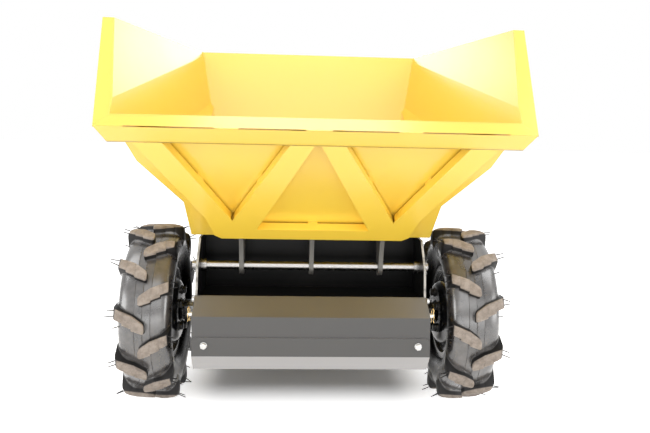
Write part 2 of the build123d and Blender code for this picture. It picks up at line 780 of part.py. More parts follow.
crankcase = (180.0, 190.0, 150.0)
crank_z = deck_top + 106.0
engine_side = Plane(origin=(0, engine_y, crank_z), x_dir=(0, 1, 0), z_dir=(1, 0, 0))
head_y = engine_y + 30.0
head_core = (110.0, 95.0, 100.0)
fin_size = (140.0, 120.0, 5.0)
fin_pitch = 12.0
with BuildPart() as engine_block:
    with BuildSketch(Plane.XY.offset(deck_top)):
        with Locations((0, engine_y)):
            RectangleRounded(crankcase[0], crankcase[1], 18)
    extrude(amount=crankcase[2])
    for level in range(8):
        with BuildSketch(Plane.XY.offset(deck_top + crankcase[2] + level * fin_pitch)):
            with Locations((0, head_y)):
                RectangleRounded(fin_size[0], fin_size[1], 12)
        extrude(amount=fin_size[2])
    with BuildSketch(Plane.XY.offset(deck_top + crankcase[2])):
        with Locations((0, head_y)):
            RectangleRounded(head_core[0], head_core[1], 12)
    extrude(amount=head_core[2])
finish(engine_block, "engine_block")

# The starter's housing is a drum with a stepped, rounded face
starter_radius = 92.0
starter_depth = 55.0
starter_step = (60.0, 12.0)  # radius and height of the raised middle
with BuildPart() as recoil_starter:
    with BuildSketch(engine_side.offset(crankcase[0] / 2)):
        Circle(starter_radius)
    extrude(amount=starter_depth - starter_step[1])
    fillet(recoil_starter.edges().group_by(Axis.X)[-1], 15)
    with BuildSketch(engine_side.offset(crankcase[0] / 2 + starter_depth - starter_step[1])):
        Circle(starter_step[0])
    extrude(amount=starter_step[1])
    fillet(recoil_starter.edges().group_by(Axis.X)[-1], 6)
finish(recoil_starter, "recoil_starter")

tank_size = (240.0, 190.0, 80.0)
tank_z = deck_top + crankcase[2] + head_core[2]
cap_radius = 28.0
cap_height = 18.0
with BuildPart() as fuel_tank:
    with BuildSketch(Plane.XY.offset(tank_z)):
        with Locations((0, engine_y + 10)):
            RectangleRounded(tank_size[0], tank_size[1], 35)
    extrude(amount=tank_size[2])
    fillet(fuel_tank.edges().group_by(Axis.Z)[-1], 22)
    with BuildSketch(Plane.XY.offset(tank_z + tank_size[2])):
        with Locations((60, engine_y + 40)):
            Circle(cap_radius)
    extrude(amount=cap_height)
finish(fuel_tank, "fuel_tank")

# Air filter and muffler stand side by side on the cylinder's far side
pot_size = (104.0, 100.0, 92.0)
pot_x = 60.0
pot_y = head_y + fin_size[1] / 2 + pot_size[1] / 2
pot_z = deck_top + crankcase[2] + 5
pipe_radius = 11.0
with BuildPart() as air_filter:
    with BuildSketch(Plane.XY.offset(pot_z)):
        with Locations((pot_x, pot_y)):
            RectangleRounded(pot_size[0], pot_size[1], 15)
    extrude(amount=pot_size[2])
    fillet(air_filter.edges().group_by(Axis.Z)[-1], 12)
finish(air_filter, "air_filter")

with BuildPart() as muffler:
    with BuildSketch(Plane.XY.offset(pot_z)):
        with Locations((-pot_x, pot_y)):
            RectangleRounded(pot_size[0], pot_size[1], 22)
    extrude(amount=pot_size[2])
    fillet(muffler.edges().group_by(Axis.Z)[-1] + muffler.edges().group_by(Axis.Z)[0], 10)
    with BuildSketch(Plane(origin=(-pot_x - pot_size[0] / 2, pot_y + 20, pot_z + 60), z_dir=(-1, 0, 0))):
        Circle(pipe_radius)
    extrude(amount=22)
finish(muffler, "muffler")

guard_depth = 50.0
belt_outline = [(-60, 70), (70, 70), (70, -60), (-60, -100), (-300, -100), (-300, -30)]
with BuildPart() as belt_guard:
    with BuildSketch(engine_side.offset(-crankcase[0] / 2)):
        with BuildLine():
            Polyline(*belt_outline, close=True)
        make_face()
        fillet(vertices(), 22)
    extrude(amount=-guard_depth)
    fillet(belt_guard.edges().group_by(Axis.X)[0], 6)
finish(belt_guard, "belt_guard")

# ---------------------------------------------------------------- handlebars
handle_end_y = -nose.Y
handle_x = chassis_half + handle_radius
handle_foot = (frame_rear_y - 160, 366.0)
handle_bend_y = frame_rear_y + 25
grip_start_y = handle_end_y - grip_length
handle_top_y = grip_start_y - 60
for side, hand in ((1, "left"), (-1, "right")):
    x = side * handle_x
    with BuildPart() as handle:
        with BuildLine():
            FilletPolyline(
                (x, *handle_foot), (x, handle_bend_y, handle_foot[1]),
                (x, handle_top_y, grip_z), (x, handle_end_y - 3, grip_z), radius=60,
            )
        with BuildSketch(Plane(origin=(x, *handle_foot), z_dir=(0, 1, 0))):
            Circle(handle_radius)
        sweep()
    finish(handle, f"{hand}_handlebar")
with BuildPart() as handle_grips:
    for x in (-handle_x, handle_x):
        with BuildSketch(Plane(origin=(x, grip_start_y, grip_z), z_dir=(0, 1, 0))):
            Circle(handle_radius + 4)
        extrude(amount=grip_length)
        with BuildSketch(Plane(origin=(x, grip_start_y, grip_z), z_dir=(0, 1, 0))):
            Circle(handle_radius)
        extrude(amount=grip_length - 3, mode=Mode.SUBTRACT)
finish(handle_grips, "handle_grips")

# A cross tube joins the handlebars and carries the console
tube_z = 720.0
tube_rise = (tube_z - handle_foot[1]) / (grip_z - handle_foot[1])
tube_y = handle_bend_y + (handle_top_y - handle_bend_y) * tube_rise
cross_tube = 11.0
console_half = 90.0
with BuildPart() as handle_console:
    with BuildSketch(Plane(origin=(handle_radius - handle_x, tube_y, tube_z), z_dir=(1, 0, 0))):
        Circle(cross_tube)
    extrude(amount=2 * (handle_x - handle_radius))
    add(across([
        (tube_y - 76, tube_z - 10),
        (tube_y + 4, tube_z - 10),
        (tube_y + 4, tube_z + 50),
        (tube_y - 76, tube_z + 90),
    ], console_half))
    fillet(handle_console.edges().filter_by(Axis.X).group_by(Axis.Z)[-1], 12)
finish(handle_console, "handle_console")

# Small controls: brake and clutch levers under the grips, gear lever, and the latch swung open
lever_sheet = 5.0
lever_half = 7.0
gear_x = -200.0
gear_height = 330.0
gear_knob = 16.0
latch_half = 4.0
latch_y = striker_y + 34.0
latch_clear = 11.0           # from the striker's middle to the open hook
with BuildPart() as control_levers:
    for x in (-handle_x, handle_x):
        add(across(folded([
            (grip_start_y - 11, grip_z - handle_radius),
            (grip_start_y - 4, grip_z - handle_radius),
            (grip_start_y + 14, grip_z - 38),
            (handle_end_y - 34, grip_z - 38),
            (handle_end_y - 14, grip_z - 31),
        ], -lever_sheet), lever_half, x))
    with BuildSketch(Plane.XY.offset(deck_top)):
        with Locations((gear_x, gearbox_y)):
            Circle(6)
    extrude(amount=gear_height)
    with Locations((gear_x, gearbox_y, deck_top + gear_height + gear_knob / 2)):
        Sphere(gear_knob)
    add(across([
        (latch_y - 12, deck_top), (latch_y + 12, deck_top), (latch_y + 16, striker_z + 30),
        (striker_y + latch_clear, striker_z + 26), (striker_y + latch_clear, striker_z + 12),
        (latch_y - 2, striker_z + 10),
    ], latch_half))
finish(control_levers, "control_levers")
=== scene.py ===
import json
import random
from math import cos, pi, radians, sin

import bmesh
import bpy
from mathutils import Matrix, Vector


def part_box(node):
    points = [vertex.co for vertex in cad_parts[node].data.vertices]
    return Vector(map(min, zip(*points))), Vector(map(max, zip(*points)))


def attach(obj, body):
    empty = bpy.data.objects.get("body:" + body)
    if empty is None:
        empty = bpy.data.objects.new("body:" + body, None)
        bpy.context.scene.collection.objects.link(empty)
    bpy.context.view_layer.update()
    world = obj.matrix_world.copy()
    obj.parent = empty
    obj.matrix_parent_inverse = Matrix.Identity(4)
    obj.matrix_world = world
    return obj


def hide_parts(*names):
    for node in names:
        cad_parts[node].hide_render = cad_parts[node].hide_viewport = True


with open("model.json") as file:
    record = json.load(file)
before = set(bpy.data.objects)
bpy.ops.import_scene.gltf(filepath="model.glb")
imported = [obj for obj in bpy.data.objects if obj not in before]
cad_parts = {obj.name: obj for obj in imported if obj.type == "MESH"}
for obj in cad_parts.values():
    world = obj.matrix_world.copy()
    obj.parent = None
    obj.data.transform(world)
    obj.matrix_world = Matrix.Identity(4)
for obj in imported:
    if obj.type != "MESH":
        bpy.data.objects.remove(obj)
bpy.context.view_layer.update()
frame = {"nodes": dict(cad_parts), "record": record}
cad = frame["nodes"]


# ---------------------------------------------------------------- shader kit
class Wire:
    """One output of a node. Arithmetic on it adds Math nodes to its tree."""

    def __init__(self, owner, socket):
        self.owner = owner
        self.socket = socket

    def maths(self, operation, first, second):
        return self.owner.node("ShaderNodeMath", {"operation": operation}, {0: first, 1: second})

    def __add__(self, other):
        return self.maths("ADD", self, other)

    __radd__ = __add__

    def __sub__(self, other):
        return self.maths("SUBTRACT", self, other)

    def __rsub__(self, other):
        return self.maths("SUBTRACT", other, self)

    def __mul__(self, other):
        return self.maths("MULTIPLY", self, other)

    __rmul__ = __mul__

    def __pow__(self, other):
        return self.maths("POWER", self, other)

    def at_least(self, other):
        return self.maths("MAXIMUM", self, other)

    def size(self):
        return self.maths("ABSOLUTE", self, 0.0)


class Nodes:
    """A node tree and its main shader, with one method that adds any other node."""

    def __init__(self, tree, shader):
        self.tree = tree
        self.shader = tree.nodes[shader]

    def put(self, node, values):
        """Set a node's sockets, by name or number, to values or to wires."""
        for key, value in values.items():
            if isinstance(value, Wire):
                self.tree.links.new(value.socket, node.inputs[key])
            else:
                node.inputs[key].default_value = value

    def wear(self, **values):
        """Set the main shader's sockets by name, with spaces written as underscores."""
        self.put(self.shader, {key.replace("_", " "): value for key, value in values.items()})

    def node(self, kind, settings=None, values=None, output=0):
        """Add a node: its settings come first, then the values or wires of its sockets."""
        made = self.tree.nodes.new(kind)
        for key, value in (settings or {}).items():
            if key == "stops":
                ramp = made.color_ramp.elements
                while len(ramp) < len(value):
                    ramp.new(1.0)
                for element, (position, colour) in zip(ramp, value):
                    element.position = position
                    element.color = colour
            else:
                setattr(made, key, value)
        self.put(made, values or {})
        return Wire(self, made.outputs[output])

    def seen(self):
        """One where the camera or a reflection looks at it, nothing for the light that it gives."""
        path = self.node("ShaderNodeLightPath", output="Is Camera Ray")
        glossy, through = (Wire(self, path.socket.node.outputs[name])
                           for name in ("Is Glossy Ray", "Is Transmission Ray"))
        return path.at_least(glossy).at_least(through)


class Finish(Nodes):
    """A material."""

    def __init__(self, name, colour, roughness, metallic=0.0, **rest):
        self.material = bpy.data.materials.new(name)
        self.material.use_nodes = True
        self.material.diffuse_color = (*colour, 1)
        super().__init__(self.material.node_tree, "Principled BSDF")
        self.place = self.node("ShaderNodeTexCoord", output="Object")
        self.wear(Base_Color=(*colour, 1), Roughness=roughness, Metallic=metallic, **rest)

    def noise(self, scale, detail=3.0, roughness=0.5, stretch=None):
        """Fractal noise from 0 to 1, its scale in lumps a metre."""
        at = self.place
        if stretch:
            at = self.node("ShaderNodeMapping", {"vector_type": "POINT"},
                           {"Vector": at, "Scale": stretch})
        return self.node("ShaderNodeTexNoise", None,
                         {"Vector": at, "Scale": scale, "Detail": detail, "Roughness": roughness})

    def grade(self, value, low, high, start=0.0, end=1.0):
        """The value, taken from the range low to high to the range start to end and held there."""
        return self.node("ShaderNodeMapRange", {"interpolation_type": "SMOOTHSTEP"},
                         {"Value": value, "From Min": low, "From Max": high,
                          "To Min": start, "To Max": end})

    def apart(self, vector):
        """The three numbers of a vector."""
        first = self.node("ShaderNodeSeparateXYZ", None, {0: vector})
        return [Wire(self, socket) for socket in first.socket.node.outputs]

    def mix(self, factor, first, second):
        """One colour into another."""
        first, second = ((*c, 1) if isinstance(c, tuple) else c for c in (first, second))
        return self.node("ShaderNodeMix", {"data_type": "RGBA"},
                         {0: factor, 6: first, 7: second}, output=2)

    def bump(self, height, depth, edges=0.0):
        """Relief of that depth in metres, over edges that are rounded by that radius."""
        values = {"Height": height, "Distance": depth, "Strength": 1.0}
        if edges:
            values["Normal"] = self.node("ShaderNodeBevel", {"samples": 4}, {"Radius": edges})
        return self.node("ShaderNodeBump", None, values)


def scaled(colour, factor, lift=0.0):
    """Three numbers, each times the factor and raised by the lift."""
    return tuple(c * factor + lift for c in colour)


# ---------------------------------------------------------------- finishes
dust = (0.30, 0.27, 0.23)


def painted(name, colour, roughness, grain, coat=0.0, soil=0.05, gloss=0.5,
            pale_edges=None, sheen=None):
    """Baked-on powder paint: fine orange peel, a little dust in patches, rounded sheet edges.

    A side plate's cut edges may take a pale colour in patches, on every face that does not face
    sideways, and a satin paint takes a metal's sheen where it is seen at a low angle.
    """
    paint = Finish(name, colour, roughness, Specular_IOR_Level=gloss,
                   Coat_Weight=coat, Coat_Roughness=0.22, Coat_IOR=1.65)
    peel = paint.noise(grain, 2.0)
    cloud = paint.noise(7.0, 4.0)
    patch = paint.grade(cloud, 0.48, 0.75, 0.0, soil)
    shade = paint.noise(2.2, 2.0)
    varied = paint.mix(paint.grade(shade, 0.3, 0.7, 0.0, 0.10), colour, scaled(colour, 0.86))
    # Faces that do not face sideways take the pale colour, in noisy patches.
    if pale_edges:
        normal = paint.node("ShaderNodeNewGeometry", output="True Normal")
        sideways = paint.apart(normal)[0].size()
        edge_patches = paint.grade(paint.noise(45.0, 5.0, 0.7), 0.30, 0.55, 0.35, 1.0)
        edge = paint.grade(sideways, 0.3, 0.7, 1.0, 0.0)
        varied = paint.mix(edge * edge_patches, varied, pale_edges)
    paint.wear(
        Base_Color=paint.mix(patch, varied, dust),
        Roughness=roughness + 0.10 * (cloud - 0.5) + patch * 1.5,
        Normal=paint.bump(peel, 0.00006, edges=0.0016),
    )
    if sheen:
        glancing = paint.node("ShaderNodeLayerWeight", None, {"Blend": 0.5}, output="Facing")
        metal = paint.node("ShaderNodeBsdfPrincipled", None,
                           {"Base Color": (*sheen, 1), "Metallic": 1.0, "Roughness": 0.42})
        both = paint.node("ShaderNodeMixShader", None,
                          {0: paint.grade(glancing, 0.18, 0.50, 0.0, 0.65), 2: metal})
        paint.tree.links.new(paint.shader.outputs[0], both.socket.node.inputs[1])
        output = paint.tree.nodes["Material Output"]
        paint.tree.links.new(both.socket, output.inputs["Surface"])
    return paint.material


def turned_steel(name, colour, roughness, stretch=(1.0, 1.0, 1.0), metallic=1.0):
    """Bare or plated metal with fine turning marks across the long way of the piece."""
    steel = Finish(name, colour, roughness, metallic)
    marks = steel.noise(90.0, 4.0, 0.6, stretch=stretch)
    stain = steel.noise(30.0, 4.0)
    steel.wear(
        Base_Color=steel.mix(steel.grade(stain, 0.45, 0.8, 0.0, 0.45), colour,
                             scaled(colour, 0.62)),
        Roughness=roughness + 0.22 * (marks - 0.5) + 0.12 * (stain - 0.5),
        Normal=steel.bump(marks, 0.00004, edges=0.0006),
    )
    return steel.material


def moulded_rubber(name, colour, roughness):
    """Plain black rubber with a fine grain and a grey bloom."""
    rubber = Finish(name, colour, roughness)
    speck = rubber.noise(900.0, 2.0)
    bloom = rubber.noise(18.0, 5.0, 0.6)
    rubber.wear(
        Base_Color=rubber.mix(rubber.grade(bloom, 0.45, 0.75, 0.0, 0.5), colour,
                              scaled(colour, 1.9, 0.01)),
        Roughness=roughness + 0.25 * (bloom - 0.5),
        Normal=rubber.bump(speck, 0.00008),
    )
    return rubber.material


def tyre_rubber(name, axle, half_track, half_width, crown, face_start, face_end):
    """Satin carcass, painted shade that darkens the lug flanks and walls and takes their gloss,
    and lug faces left brown and matt by the mould.

    The axle is a point on the wheels' axis, between them. The crown is the carcass's radius,
    and a lug's flank turns into its face between the two face radii.
    """
    rubber = Finish(name, (0.060, 0.055, 0.053), 0.30,
                    Specular_IOR_Level=0.8, Coat_Roughness=0.24, Coat_IOR=1.6)
    local = rubber.node("ShaderNodeMapping", {"vector_type": "POINT"},
                        {"Vector": rubber.place, "Location": scaled(axle, -1)})
    axial, ahead, up = rubber.apart(local)
    reach = (ahead * ahead + up * up) ** 0.5
    on_tread = rubber.grade((axial.size() - half_track).size(),
                            half_width, half_width + 0.0005, 1.0, 0.0)
    face = rubber.grade(reach, face_start, face_end) * on_tread
    shoulder_in = ((axial.size() - half_track).size() - 0.030).at_least(0.0)
    flank = rubber.grade(reach + shoulder_in * shoulder_in * 30.0, crown + 0.0008, crown + 0.0050)
    wall = rubber.grade(reach, crown - 0.045, crown - 0.022, 1.0, 0.0)
    bloom = rubber.noise(26.0, 5.0, 0.6)
    speck = rubber.noise(900.0, 2.0)
    scuff = rubber.noise(70.0, 5.0, 0.7)
    crown_tone = rubber.mix(rubber.grade(bloom, 0.35, 0.75, 0.0, 0.8),
                            (0.030, 0.027, 0.026), (0.110, 0.101, 0.095))
    # Painted shade: the lug flanks and the tyre's walls are darkened to near black.
    painted_shade = flank.at_least(wall)
    shaded_tone = rubber.mix(painted_shade, crown_tone, (0.015, 0.014, 0.014))
    face_tone = rubber.mix(rubber.grade(scuff, 0.3, 0.7),
                           (0.225, 0.185, 0.153), (0.370, 0.315, 0.268))
    rubber.wear(
        Base_Color=rubber.mix(face * 0.95, shaded_tone, face_tone),
        Roughness=0.28 + face * 0.40 + flank * 0.22 + 0.12 * (bloom - 0.5),
        # The painted shade also makes the flanks and walls metallic and uncoated, so that they
        # hardly reflect.
        Metallic=painted_shade * (1 - face) * 0.75,
        Coat_Weight=(1 - painted_shade) * 0.9,
        Normal=rubber.bump(speck * (0.3 + face) + scuff * face, 0.00016),
    )
    return rubber.material


def cast_alloy(name, colour, roughness):
    """Sand-cast alloy, stained in patches."""
    cast = Finish(name, colour, roughness, 0.85)
    sand = cast.noise(620.0, 3.0)
    stain = cast.noise(16.0, 4.0)
    cast.wear(
        Base_Color=cast.mix(cast.grade(stain, 0.4, 0.8, 0.0, 0.6), colour, scaled(colour, 0.55)),
        Roughness=roughness + 0.3 * (stain - 0.5),
        Normal=cast.bump(sand, 0.00025, edges=0.0012),
    )
    return cast.material


def heated_steel(name):
    """Muffler sheet, tinted straw and blue where it runs hot."""
    steel = Finish(name, (0.34, 0.32, 0.30), 0.38, 0.9)
    heat = steel.noise(9.0, 3.0)
    tint = steel.node("ShaderNodeValToRGB", {"stops": [
        (0.30, (0.36, 0.34, 0.32, 1)), (0.50, (0.42, 0.32, 0.18, 1)),
        (0.62, (0.28, 0.17, 0.16, 1)), (0.74, (0.12, 0.14, 0.22, 1)),
    ]}, {0: heat})
    grain = steel.noise(300.0, 3.0)
    steel.wear(Base_Color=tint, Roughness=0.34 + 0.3 * (grain - 0.5),
               Normal=steel.bump(grain, 0.00008, edges=0.001))
    return steel.material


tyre_low, tyre_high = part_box("left_wheel_tyre")
wheel_centre = (tyre_low + tyre_high) / 2
tread_radius = (tyre_high.z - tyre_low.z) / 2
lug_depth = 0.0195
carcass_radius = tread_radius - lug_depth
paint_black = (0.005, 0.005, 0.005)

yellow = painted("yellow_powder_paint", (0.93, 0.63, 0.060), 0.34, 850.0, coat=0.7, soil=0.0)
black = painted("black_powder_paint", paint_black, 0.30, 700.0, soil=0.015, gloss=0.10)
edged_black = painted("black_paint_with_pale_edges", paint_black, 0.30, 700.0,
                      soil=0.015, gloss=0.12, pale_edges=(0.50, 0.49, 0.46))
graphite = painted("graphite_powder_paint", (0.062, 0.060, 0.058), 0.36, 900.0,
                   soil=0.02, sheen=(0.56, 0.55, 0.55))
rim_black = painted("gloss_black_enamel", (0.010, 0.010, 0.011), 0.10, 500.0,
                    coat=1.0, soil=0.02, gloss=1.0)
bar_steel = turned_steel("turned_steel", (0.33, 0.32, 0.31), 0.26, (1.0, 14.0, 14.0))
lug_steel = turned_steel("flame_cut_steel", (0.115, 0.110, 0.100), 0.42, (1.0, 6.0, 6.0),
                         metallic=0.4)
zinc = turned_steel("bright_zinc", (0.56, 0.56, 0.55), 0.30)
oxide = turned_steel("black_oxide_steel", (0.045, 0.044, 0.043), 0.30, metallic=0.8)
brass = turned_steel("yellow_zinc", (0.78, 0.56, 0.26), 0.25)
tyre = tyre_rubber("tyre_rubber", (0, wheel_centre.y, wheel_centre.z), half_track=wheel_centre.x,
                   half_width=0.0592, crown=carcass_radius,
                   face_start=tread_radius - 0.0085, face_end=tread_radius - 0.0060)
castor_black = moulded_rubber("castor_rubber", (0.040, 0.040, 0.042), 0.55)
soft_black = moulded_rubber("grip_rubber", (0.028, 0.028, 0.029), 0.60)
casting = cast_alloy("cast_alloy", (0.46, 0.46, 0.47), 0.42)
cover = painted("black_moulded_cover", (0.022, 0.022, 0.024), 0.45, 500.0, soil=0.04)
tank = painted("grey_enamel", (0.30, 0.31, 0.31), 0.28, 500.0, coat=0.3, soil=0.03)
muffler = heated_steel("heated_steel")

slot_finish = {
    "skip_paint": yellow, "chassis_paint": black, "guard_paint": graphite,
    "bright_steel": bar_steel, "rim_paint": rim_black, "tyre": tyre,
    "castor_rubber": castor_black, "zinc": zinc, "rubber": soft_black,
    "engine_casting": casting, "engine_cover": cover, "tank_paint": tank,
    "muffler_steel": muffler,
}


def dress(piece, finish):
    """Give a piece one finish all over."""
    piece.data.materials.clear()
    piece.data.materials.append(finish)


for part in frame["record"]["subparts"]:
    dress(cad[part["node"]], slot_finish[part["material_slot"]])
dress(cad["skip_hinge_lugs"], lug_steel)
for node in ("chassis_left_plate", "chassis_right_plate"):
    dress(cad[node], edged_black)


# ---------------------------------------------------------------- modelling kit
along_x = Matrix.Rotation(pi / 2, 4, "Y")       # turns a piece's Z axis to +X
along_y = Matrix.Rotation(-pi / 2, 4, "X")      # and to +Y
flip_z = Matrix.Scale(-1, 4, (0, 0, 1))


def facing(direction):
    """Turns +Z to a direction."""
    return Vector(direction).to_track_quat("Z", "Y").to_matrix().to_4x4()


def shift(*to):
    """A move by x, y and z."""
    return Matrix.Translation(to)


def only(piece):
    """Object mode, with this piece alone selected, or nothing."""
    if bpy.context.mode != "OBJECT":
        bpy.ops.object.mode_set(mode="OBJECT")
    bpy.ops.object.select_all(action="DESELECT")
    if piece:
        piece.select_set(True)
        bpy.context.view_layer.objects.active = piece


def edit(piece):
    """Edit mode on this piece, all of it selected."""
    only(piece)
    bpy.ops.object.mode_set(mode="EDIT")
    bpy.ops.mesh.select_all(action="SELECT")


def pick_edges(test):
    """In edit mode, select only the edges that pass the test."""
    bpy.ops.mesh.select_mode(type="EDGE")
    bpy.ops.mesh.select_all(action="DESELECT")
    data = bpy.context.object.data
    mesh = bmesh.from_edit_mesh(data)
    for edge in mesh.edges:
        if test(edge):
            edge.select_set(True)
    mesh.select_flush_mode()
    bmesh.update_edit_mesh(data)


def settle(piece, smooth=35.0):
    """Apply what is pending, so that the piece's place is in its mesh."""
    only(piece)
    for modifier in list(piece.modifiers):
        bpy.ops.object.modifier_apply(modifier=modifier.name)
    bpy.ops.object.transform_apply(location=True, rotation=True, scale=True)
    bpy.ops.object.shade_smooth_by_angle(angle=radians(smooth))
    return piece


def close_up(piece, merge=0.00001):
    """Merge points that meet, and turn every face outward."""
    edit(piece)
    bpy.ops.mesh.remove_doubles(threshold=merge)
    bpy.ops.mesh.normals_make_consistent(inside=False)
    bpy.ops.object.mode_set(mode="OBJECT")
    return piece


def soften(piece, width, segments=2, angle=40.0):
    """Round the edges that are sharper than the angle."""
    modifier = piece.modifiers.new("soften", "BEVEL")
    modifier.width = width
    modifier.segments = segments
    modifier.limit_method = "ANGLE"
    modifier.angle_limit = radians(angle)
    modifier.use_clamp_overlap = True


def place(piece, location, turn=Matrix.Identity(4)):
    """Move and turn a piece that was modelled at the origin, mesh and all."""
    piece.data.transform(Matrix.Translation(location) @ turn)


def turned(name, rows, segments=48, closed=False):
    """A turned piece on the Z axis: a ring, extruded and scaled to each (along, radius) row."""
    thin = 1e-5
    only(None)
    start, radius = rows[0]
    bpy.ops.mesh.primitive_circle_add(vertices=segments, radius=max(radius, thin),
                                      location=(0, 0, start))
    piece = bpy.context.object
    piece.name = name
    bpy.ops.object.transform_apply(location=True, rotation=True, scale=True)
    edit(piece)
    path = rows + [rows[0]] if closed else rows
    for (here, old), (there, new) in zip(path, path[1:]):
        bpy.ops.mesh.extrude_region_move(TRANSFORM_OT_translate={"value": (0, 0, there - here)})
        scale = max(new, thin) / max(old, thin)
        bpy.ops.transform.resize(value=(scale, scale, 1), center_override=(0, 0, there))
    return close_up(piece, 0.00004)


def block(name, low, high, bevel, segments=2):
    """A block between two corners, its edges softened."""
    low, high = Vector(low), Vector(high)
    only(None)
    bpy.ops.mesh.primitive_cube_add(size=1, location=(low + high) / 2, scale=high - low)
    piece = bpy.context.object
    piece.name = name
    bpy.ops.object.transform_apply(location=True, rotation=True, scale=True)
    soften(piece, bevel, segments)
    return settle(piece)


def tube(name, points, radius, bends=None, sides=16):
    """A round bar or wire through the points, with its corners rounded."""
    curve = bpy.data.curves.new(name, "CURVE")
    curve.dimensions = "3D"
    curve.bevel_depth = radius
    curve.bevel_resolution = sides // 4
    curve.use_fill_caps = True
    line = curve.splines.new("POLY")
    points = [Vector(p) for p in points]
    if bends:
        path = [points[0]]
        steps = 8
        for before, corner, after in zip(points, points[1:], points[2:]):
            start = corner + (before - corner).normalized() * bends
            end = corner + (after - corner).normalized() * bends
            for step in range(steps + 1):
                t = step / steps
                path.append(start * (1 - t) ** 2 + corner * 2 * t * (1 - t) + end * t ** 2)
        points = path + [points[-1]]
    line.points.add(len(points) - 1)
    for point, target in zip(line.points, points):
        point.co = (*target, 1)
    piece = bpy.data.objects.new(name, curve)
    bpy.context.collection.objects.link(piece)
    only(piece)
    bpy.ops.object.convert(target="MESH")
    return settle(bpy.context.object)


def copied(piece, matrix):
    """A copy with its own mesh, moved and turned. A mirrored one is turned right side out."""
    other = piece.copy()
    other.data = piece.data.copy()
    bpy.context.collection.objects.link(other)
    other.data.transform(matrix)
    if matrix.determinant() < 0:
        other.data.flip_normals()
    return other


def joined(name, pieces):
    """The pieces as one, under that name."""
    only(pieces[0])
    for piece in pieces[1:]:
        piece.select_set(True)
    bpy.ops.object.join()
    pieces[0].name = name
    return pieces[0]


def repeated(name, pattern, places):
    """The pattern at each of the places, as one piece. The pattern itself goes."""
    copies = [copied(pattern, matrix) for matrix in places]
    bpy.data.objects.remove(pattern)
    return joined(name, copies)


def fit(piece, body, finish, stands_for=()):
    """Finish a piece, hang it on its body, and hide the CAD nodes that it stands for."""
    dress(piece, finish)
    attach(piece, body)
    if stands_for:
        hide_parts(*stands_for)


# ---------------------------------------------------------------- front tyres
random.seed(11)
lug_count = 11
shoulder = 0.0565            # half width of the carcass
rim_gap = 0.0345             # half width between the rim's flanges

half_carcass = [
    (0.0008, carcass_radius), (0.0166, carcass_radius - 0.0004),
    (0.0172, carcass_radius + 0.0004), (0.0178, carcass_radius - 0.0006),
    (0.0330, carcass_radius - 0.0024), (0.0450, carcass_radius - 0.0062),
    (0.0510, carcass_radius - 0.0115), (0.0548, carcass_radius - 0.0200),
    (shoulder, carcass_radius - 0.0330), (0.0555, carcass_radius - 0.0470),
    (0.0500, carcass_radius - 0.0600), (0.0430, 0.1195), (0.0385, 0.1158),
    (rim_gap, 0.1150), (rim_gap, 0.1030),
]
carcass_rows = [(-z, radius) for z, radius in reversed(half_carcass)]
carcass_rows += [(0.0, carcass_radius + 0.0010)] + half_carcass
carcass = turned("carcass", carcass_rows, segments=96, closed=True)

# A lug at +X: three blocks, each cut from a coarse ring that has the section of the tread.
# A block's flanks run between heights at its two ends, measured towards -Y.
lug_end = 0.0588
lug_section = [
    (-0.010, carcass_radius - 0.008), (-0.010, tread_radius), (0.030, tread_radius - 0.0004),
    (0.046, tread_radius - 0.0026), (0.0545, tread_radius - 0.0060),
    (0.0578, tread_radius - 0.0110), (lug_end, tread_radius - 0.0180),
    (lug_end, tread_radius - 0.0420), (0.0570, tread_radius - 0.0520),
    (0.0500, tread_radius - 0.0560), (0.0380, carcass_radius - 0.014),
]
lug_blocks = [
    # start, end, then lower and upper flank at the start and at the end
    (-0.0070, 0.0190, (-0.0115, 0.0090), (-0.0020, 0.0275)),
    (0.0175, 0.0385, (0.0008, 0.0268), (0.0100, 0.0350)),
    (0.0370, 0.0600, (0.0135, 0.0345), (0.0230, 0.0430)),
]
ring_sides = 24
knob_round = 0.0062
draft = 0.12                 # how far a flank leans in for each step outward


def lug_block(start, end, near, far):
    """One block of a lug, its knob rounded where it starts inside the tread."""
    ring = turned("lug_ring", lug_section, segments=ring_sides, closed=True)
    ring.data.transform(Matrix.Rotation(pi / ring_sides, 4, "Z"))
    cuts = [((0.05, 0, 0), (-1, 0, 0)), ((0, 0, start), (0, 0, -1)), ((0, 0, end), (0, 0, 1))]
    for side, first, last in ((1, near[0], far[0]), (-1, near[1], far[1])):
        along = Vector((0, first - last, end - start)).normalized()
        outward = Vector((0, along.z, -along.y)) * side
        lean = (outward + Vector((draft, 0, 0))).normalized()
        cuts.append(((tread_radius, -first, start), lean))
    edit(ring)
    for point, normal in cuts:
        bpy.ops.mesh.select_all(action="SELECT")
        bpy.ops.mesh.bisect(plane_co=point, plane_no=normal, use_fill=True, clear_outer=True)
    bpy.ops.mesh.select_all(action="SELECT")
    bpy.ops.mesh.remove_doubles(threshold=0.0001)
    bpy.ops.mesh.dissolve_limited(angle_limit=radians(1))
    if start < 0:
        pick_edges(lambda e: all(v.co.z < start + 0.0004 for v in e.verts)
                   and abs((e.verts[0].co - e.verts[1].co).normalized().x) > 0.8)
        bpy.ops.mesh.bevel(offset=knob_round, segments=4, affect="EDGES")
    close_up(ring)
    soften(ring, 0.0010, 2, 32)
    return settle(ring, 30)


lug = joined("lug", [lug_block(*row) for row in lug_blocks])

# A moulding whisker along +Z from the origin, a metre long before it is scaled
whisker = turned("whisker", [(0, 0.0012), (0.5, 0.0011), (0.95, 0.0009), (1.0, 0)], segments=5)


def whisker_at(turn, radius, height, axial, shortest, longest):
    """A whisker that stands on a lug or on the carcass beside it, a little astray."""
    length = random.uniform(shortest, longest)
    lean = (Matrix.Rotation(random.uniform(-0.35, 0.35), 4, "X")
            @ Matrix.Rotation(random.uniform(0.0, 0.55), 4, "Y"))
    return copied(whisker, turn @ shift(radius, -height, axial) @ lean
                  @ Matrix.Scale(length, 4, (0, 0, 1)))


